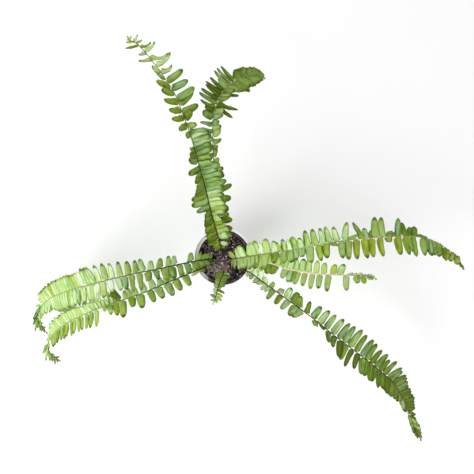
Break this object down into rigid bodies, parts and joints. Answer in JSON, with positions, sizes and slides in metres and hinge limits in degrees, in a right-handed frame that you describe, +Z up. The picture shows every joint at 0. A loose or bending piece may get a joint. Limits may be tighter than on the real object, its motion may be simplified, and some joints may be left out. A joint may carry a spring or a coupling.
{
  "type": "potted fern",
  "caption": "Young sword fern with long arching fronds of paired leaflets, rising from dark potting mix in a plain round white pot with a rolled rim.",
  "frame": {"origin": "centre of the pot's flat base", "axes": "+Z up out of the pot; +X to the right and +Y to the top when the plant is seen from straight above, with the two left fronds towards -X"},
  "size_m": [0.9591, 0.8627, 0.3827],
  "materials": {
    "pot": "satin",
    "potting_mix": "matte",
    "frond": "satin"
  },
  "bodies": {
    "root": {"pot": "pot", "soil": "potting_mix", "frond_upper_left": "frond", "frond_top": "frond", "frond_left_high": "frond", "frond_left_low": "frond", "frond_right": "frond", "frond_right_short": "frond", "frond_lower_right": "frond", "frond_short": "frond"}
  },
  "joints": []
}
